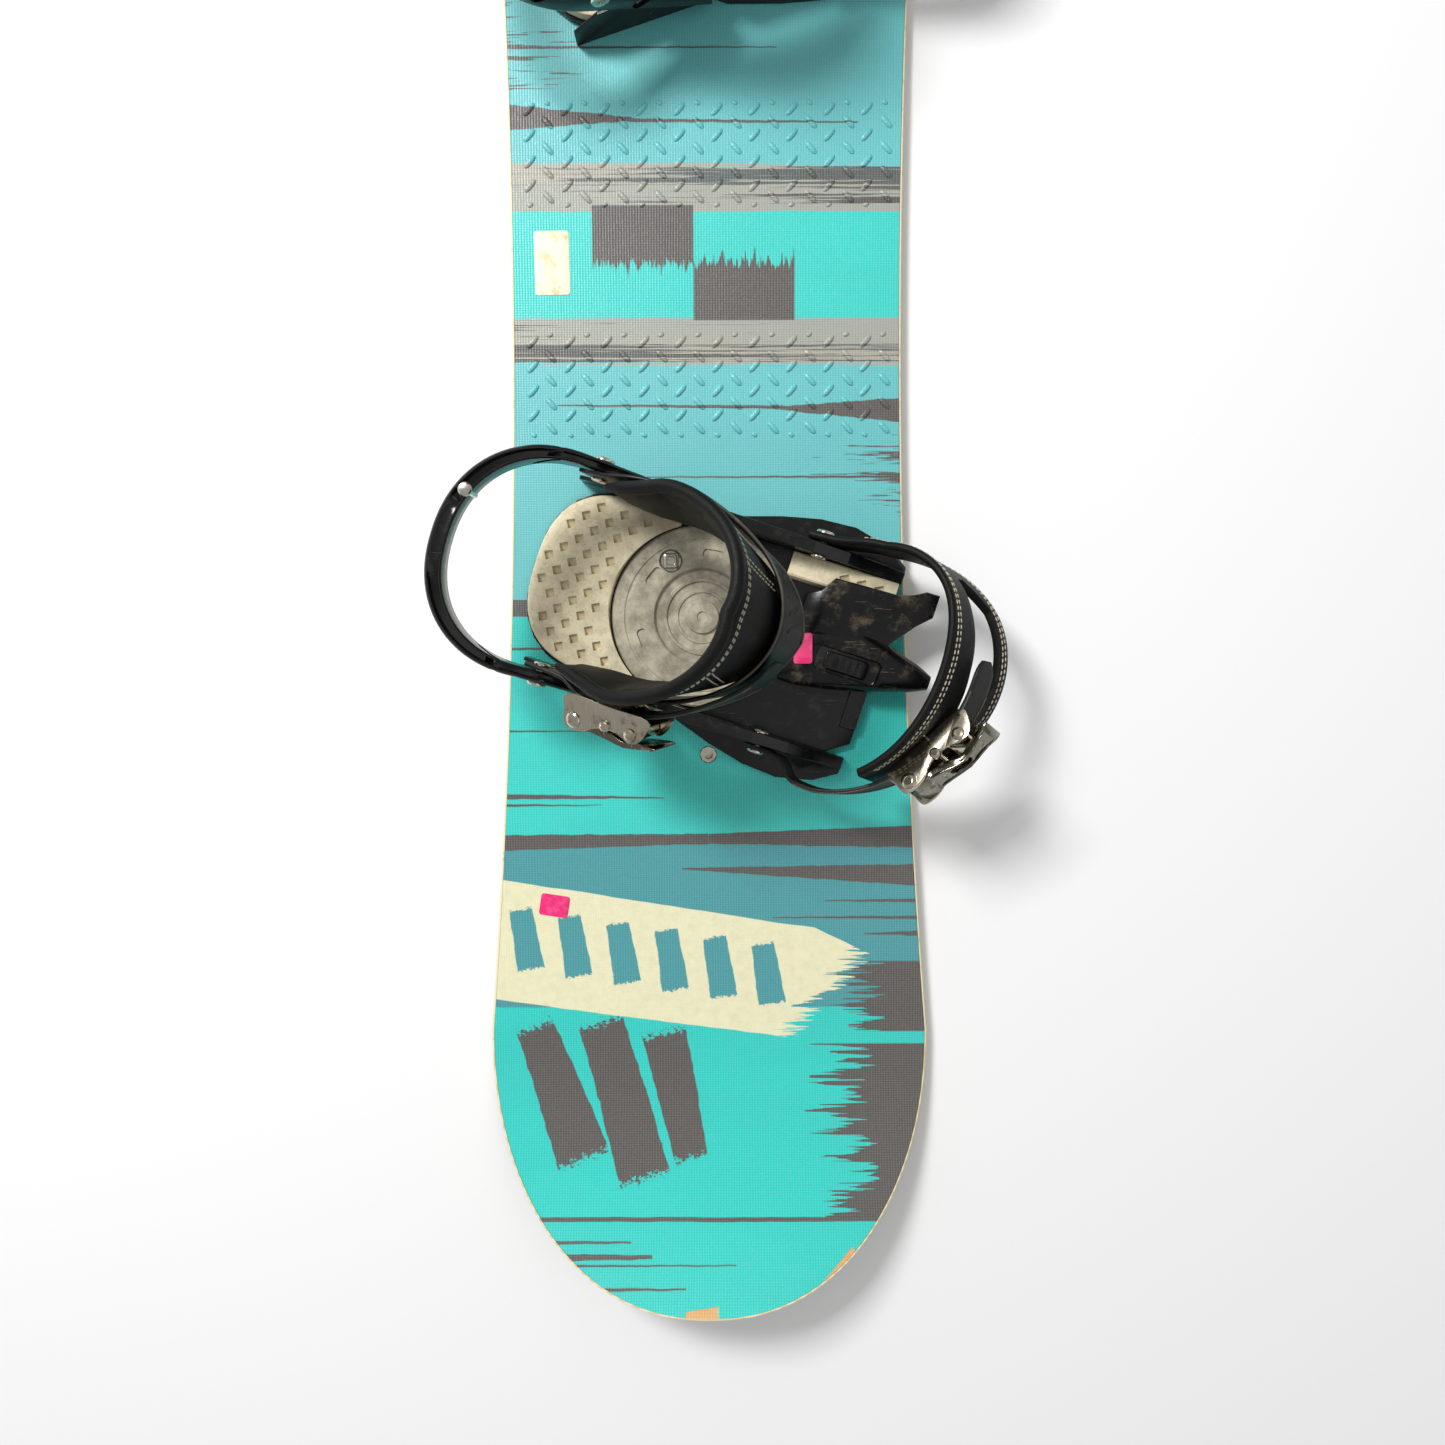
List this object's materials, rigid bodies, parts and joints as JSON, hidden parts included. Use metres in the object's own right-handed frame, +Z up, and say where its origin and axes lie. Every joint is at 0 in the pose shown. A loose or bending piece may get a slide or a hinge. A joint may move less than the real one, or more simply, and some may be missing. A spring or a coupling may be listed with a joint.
{
  "type": "snowboard with bindings",
  "caption": "Short twin-tip snowboard with upturned tips and two strap bindings, each with a baseplate, heel hoop, ankle strap, toe strap and ratchet buckles.",
  "frame": {"origin": "middle of the flat running base, on the surface the board rests on", "axes": "+Y along the board, +X across it to the toe edge, +Z up from the deck"},
  "size_m": [0.2936, 1.15, 0.1316],
  "materials": {
    "base": "sintered running base",
    "edge_steel": "ground steel edge",
    "sidewall": "cream side wall",
    "core": "laminated strips",
    "deck": "printed topsheet with a fine woven texture",
    "insert_metal": "stainless",
    "disc_plastic": "smoky translucent nylon",
    "footbed_foam": "matt grey-beige foam",
    "strap_leather": "black synthetic leather with white stitching",
    "strap_rubber": "black moulded rubber",
    "hardware_metal": "zinc plated",
    "buckle_metal": "cast and polished",
    "black_plastic": "glossy black nylon"
  },
  "bodies": {
    "root": {"base_sheet": "base", "steel_edge": "edge_steel", "side_wall": "sidewall", "wood_core": "core", "deck_sheet": "deck", "front_insert_strip": "insert_metal", "rear_insert_strip": "insert_metal", "front_mounting_disc": "disc_plastic", "front_disc_bolt_1": "hardware_metal", "front_disc_bolt_2": "hardware_metal", "front_disc_bolt_3": "hardware_metal", "rear_mounting_disc": "disc_plastic", "rear_disc_bolt_1": "hardware_metal", "rear_disc_bolt_2": "hardware_metal", "rear_disc_bolt_3": "hardware_metal"},
    "front_binding": {"front_baseplate": "black_plastic", "front_heel_hoop": "black_plastic", "front_hoop_rivet": "hardware_metal", "front_heel_footbed": "footbed_foam", "front_toe_footbed": "footbed_foam", "front_ankle_inner_screw": "hardware_metal", "front_ankle_outer_screw": "hardware_metal", "front_toe_inner_screw": "hardware_metal", "front_toe_outer_screw": "hardware_metal"},
    "front_ramp": {"front_toe_ramp": "black_plastic"},
    "front_ankle": {"front_ankle_strap_pad": "strap_leather", "front_ankle_strap_shell": "strap_rubber", "front_ankle_ladder": "strap_rubber", "front_ankle_buckle_frame": "buckle_metal"},
    "front_ankle_lever": {"front_ankle_buckle_lever": "buckle_metal"},
    "front_ankle_release": {"front_ankle_release_tab": "buckle_metal"},
    "front_toe": {"front_toe_strap": "strap_leather", "front_toe_ladder": "strap_rubber", "front_toe_buckle_frame": "buckle_metal"},
    "front_toe_lever": {"front_toe_buckle_lever": "buckle_metal"},
    "front_toe_release": {"front_toe_release_tab": "buckle_metal"},
    "rear_binding": {"rear_baseplate": "black_plastic", "rear_heel_hoop": "black_plastic", "rear_hoop_rivet": "hardware_metal", "rear_heel_footbed": "footbed_foam", "rear_toe_footbed": "footbed_foam", "rear_ankle_inner_screw": "hardware_metal", "rear_ankle_outer_screw": "hardware_metal", "rear_toe_inner_screw": "hardware_metal", "rear_toe_outer_screw": "hardware_metal"},
    "rear_ramp": {"rear_toe_ramp": "black_plastic"},
    "rear_ankle": {"rear_ankle_strap_pad": "strap_leather", "rear_ankle_strap_shell": "strap_rubber", "rear_ankle_ladder": "strap_rubber", "rear_ankle_buckle_frame": "buckle_metal"},
    "rear_ankle_lever": {"rear_ankle_buckle_lever": "buckle_metal"},
    "rear_ankle_release": {"rear_ankle_release_tab": "buckle_metal"},
    "rear_toe": {"rear_toe_strap": "strap_leather", "rear_toe_ladder": "strap_rubber", "rear_toe_buckle_frame": "buckle_metal"},
    "rear_toe_lever": {"rear_toe_buckle_lever": "buckle_metal"},
    "rear_toe_release": {"rear_toe_release_tab": "buckle_metal"}
  },
  "joints": [
    {"name": "front_stance_angle", "type": "hinge", "parent": "root", "child": "front_binding", "pos_m": [-0.003, -0.1905, 0.012], "axis": [0, 0, 1], "range_deg": [-15, 15]},
    {"name": "front_ramp_length", "type": "slide", "parent": "front_binding", "child": "front_ramp", "axis": [0.9511, -0.309, 0], "range_m": [0, 0.012]},
    {"name": "front_ankle_strap_swing", "type": "hinge", "parent": "front_binding", "child": "front_ankle", "pos_m": [-0.06957, -0.16887, 0.055], "axis": [-0.309, -0.9511, 0], "range_deg": [-2, 70]},
    {"name": "front_ankle_lever_lift", "type": "hinge", "parent": "front_ankle", "child": "front_ankle_lever", "pos_m": [-0.06072, -0.24164, 0.06421], "axis": [0.4821, 0.0958, -0.8708], "range_deg": [0, 60], "stiffness_Nm_per_rad": 0.06, "springref_deg": -11.46},
    {"name": "front_ankle_release_press", "type": "hinge", "parent": "front_ankle", "child": "front_ankle_release", "pos_m": [-0.03117, -0.2482, 0.07985], "axis": [-0.4821, -0.0958, 0.8708], "range_deg": [0, 12], "stiffness_Nm_per_rad": 0.05, "springref_deg": -11.46},
    {"name": "front_toe_strap_swing", "type": "hinge", "parent": "front_binding", "child": "front_toe", "pos_m": [0.04455, -0.20595, 0.026], "axis": [-0.309, -0.9511, 0], "range_deg": [-8, 38]},
    {"name": "front_toe_lever_lift", "type": "hinge", "parent": "front_toe", "child": "front_toe_lever", "pos_m": [0.10804, -0.27863, 0.06594], "axis": [0.5434, -0.3614, -0.7577], "range_deg": [0, 60], "stiffness_Nm_per_rad": 0.06, "springref_deg": -11.46},
    {"name": "front_toe_release_press", "type": "hinge", "parent": "front_toe", "child": "front_toe_release", "pos_m": [0.13128, -0.25422, 0.07096], "axis": [-0.5434, 0.3614, 0.7577], "range_deg": [0, 12], "stiffness_Nm_per_rad": 0.05, "springref_deg": -11.46},
    {"name": "rear_stance_angle", "type": "hinge", "parent": "root", "child": "rear_binding", "pos_m": [-0.003, 0.1905, 0.012], "axis": [0, 0, 1], "range_deg": [-15, 15]},
    {"name": "rear_ramp_length", "type": "slide", "parent": "rear_binding", "child": "rear_ramp", "axis": [0.9511, 0.309, 0], "range_m": [0, 0.012]},
    {"name": "rear_ankle_strap_swing", "type": "hinge", "parent": "rear_binding", "child": "rear_ankle", "pos_m": [-0.06957, 0.16887, 0.055], "axis": [0.309, -0.9511, 0], "range_deg": [-2, 70]},
    {"name": "rear_ankle_lever_lift", "type": "hinge", "parent": "rear_ankle", "child": "rear_ankle_lever", "pos_m": [-0.06072, 0.24164, 0.06421], "axis": [-0.4821, 0.0958, 0.8708], "range_deg": [0, 60], "stiffness_Nm_per_rad": 0.06, "springref_deg": -11.46},
    {"name": "rear_ankle_release_press", "type": "hinge", "parent": "rear_ankle", "child": "rear_ankle_release", "pos_m": [-0.03117, 0.2482, 0.07985], "axis": [0.4821, -0.0958, -0.8708], "range_deg": [0, 12], "stiffness_Nm_per_rad": 0.05, "springref_deg": -11.46},
    {"name": "rear_toe_strap_swing", "type": "hinge", "parent": "rear_binding", "child": "rear_toe", "pos_m": [0.04455, 0.20595, 0.026], "axis": [0.309, -0.9511, 0], "range_deg": [-8, 38]},
    {"name": "rear_toe_lever_lift", "type": "hinge", "parent": "rear_toe", "child": "rear_toe_lever", "pos_m": [0.10804, 0.27863, 0.06594], "axis": [-0.5434, -0.3614, 0.7577], "range_deg": [0, 60], "stiffness_Nm_per_rad": 0.06, "springref_deg": -11.46},
    {"name": "rear_toe_release_press", "type": "hinge", "parent": "rear_toe", "child": "rear_toe_release", "pos_m": [0.13128, 0.25422, 0.07096], "axis": [0.5434, 0.3614, -0.7577], "range_deg": [0, 12], "stiffness_Nm_per_rad": 0.05, "springref_deg": -11.46}
  ]
}
